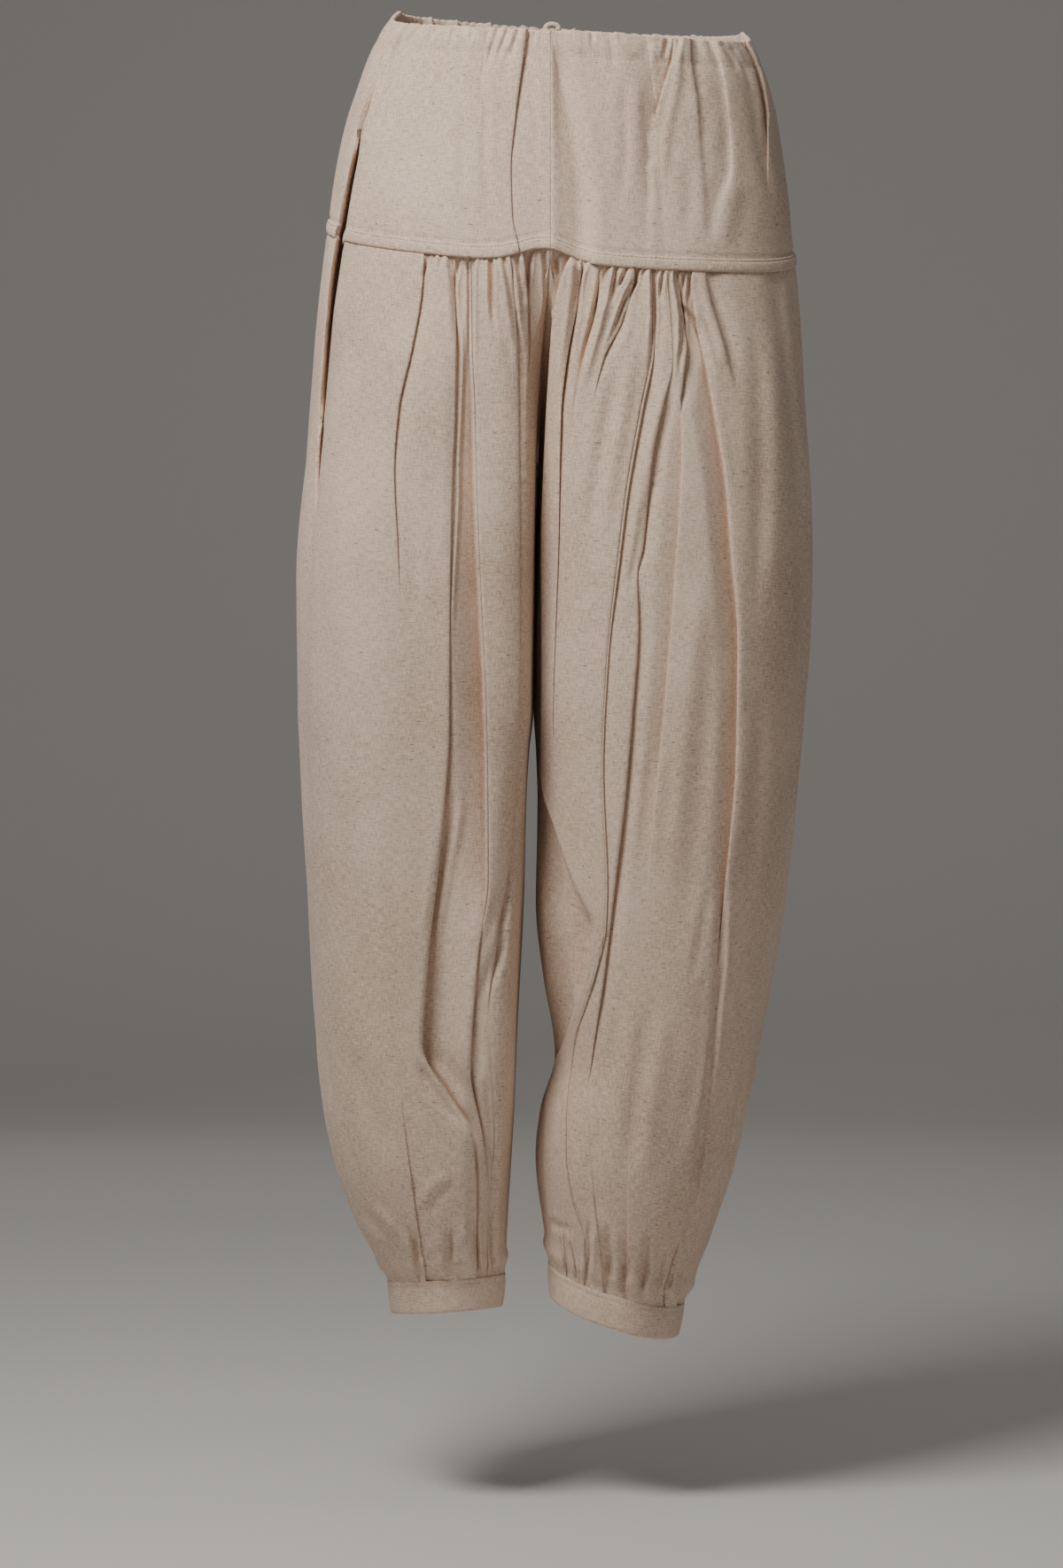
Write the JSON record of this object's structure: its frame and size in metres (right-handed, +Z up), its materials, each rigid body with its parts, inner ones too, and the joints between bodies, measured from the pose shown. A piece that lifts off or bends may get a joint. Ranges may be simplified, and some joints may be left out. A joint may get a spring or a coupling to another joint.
{
  "type": "salwar",
  "caption": "Wide gathered cotton trousers with a shaped hip yoke, drawn-in waist casing, full balloon legs parted by a deep cleft, and narrow ankle cuffs, shown as worn but empty",
  "frame": {"origin": "Middle of the waist opening, at the height of its side edge", "axes": "+Z up along the body, the front of the garment faces -Y, and the wearer's left side is +X"},
  "size_m": [0.3855, 0.2449, 1.0021],
  "materials": {
    "cotton": "matt undyed cream handloom cotton"
  },
  "bodies": {
    "root": {"yoke_right": "cotton", "yoke_left": "cotton", "yoke_band_right": "cotton", "yoke_band_left": "cotton", "leg_panel_right": "cotton", "leg_panel_left": "cotton", "gusset_front_right": "cotton", "gusset_front_left": "cotton", "gusset_back_right": "cotton", "gusset_back_left": "cotton", "cuff_right": "cotton", "cuff_left": "cotton", "cord_loop": "cotton"}
  },
  "joints": []
}
